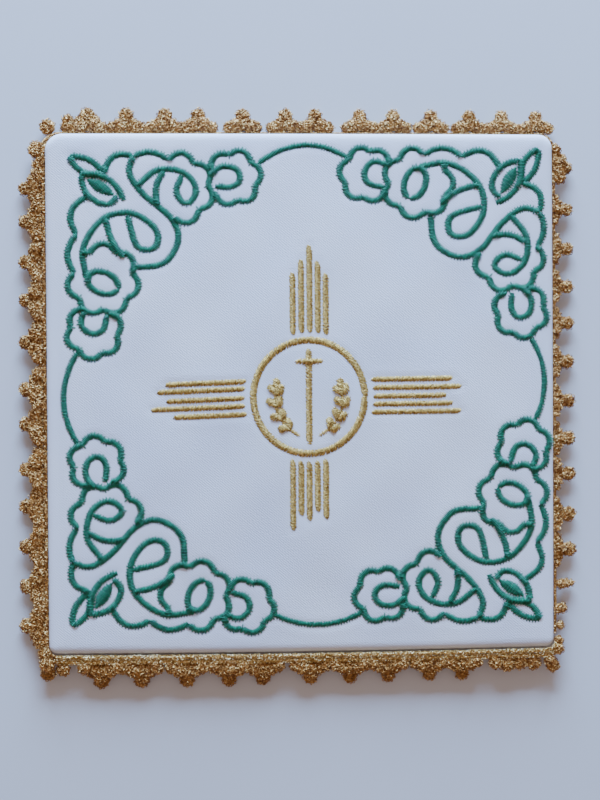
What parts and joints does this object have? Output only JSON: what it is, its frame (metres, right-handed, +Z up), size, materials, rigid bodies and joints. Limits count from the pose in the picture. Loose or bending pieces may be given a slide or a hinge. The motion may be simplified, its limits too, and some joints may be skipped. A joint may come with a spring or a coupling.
{
  "type": "chalice pall",
  "caption": "Stiff square cloth cover for a chalice, with a picot lace edging, satin-stitch floral corners and a rayed cross emblem.",
  "frame": {"origin": "middle of the flat underside on which the pall rests", "axes": "+Z up out of the embroidered face, +Y towards the top of the emblem, +X to the right as the emblem is read"},
  "size_m": [0.1792, 0.1826, 0.0059],
  "materials": {
    "white_twill": "fine white cotton twill, matt",
    "gold_edging": "crocheted metallic gold thread, glittering",
    "green_stitching": "green rayon satin stitch with a soft sheen",
    "gold_stitching": "metallic gold satin stitch"
  },
  "bodies": {
    "root": {"cover": "white_twill", "edging": "gold_edging", "spray_upper_left": "green_stitching", "spray_upper_right": "green_stitching", "spray_lower_left": "green_stitching", "spray_lower_right": "green_stitching", "link_top": "green_stitching", "link_right": "green_stitching", "link_bottom": "green_stitching", "link_left": "green_stitching", "emblem_ring": "gold_stitching", "emblem_cross": "gold_stitching", "emblem_ear_left": "gold_stitching", "emblem_ear_right": "gold_stitching", "ray_top_1": "gold_stitching", "ray_top_2": "gold_stitching", "ray_top_3": "gold_stitching", "ray_top_4": "gold_stitching", "ray_top_5": "gold_stitching", "ray_right_1": "gold_stitching", "ray_right_2": "gold_stitching", "ray_right_3": "gold_stitching", "ray_right_4": "gold_stitching", "ray_right_5": "gold_stitching", "ray_bottom_1": "gold_stitching", "ray_bottom_2": "gold_stitching", "ray_bottom_3": "gold_stitching", "ray_bottom_4": "gold_stitching", "ray_bottom_5": "gold_stitching", "ray_left_1": "gold_stitching", "ray_left_2": "gold_stitching", "ray_left_3": "gold_stitching", "ray_left_4": "gold_stitching", "ray_left_5": "gold_stitching"}
  },
  "joints": []
}
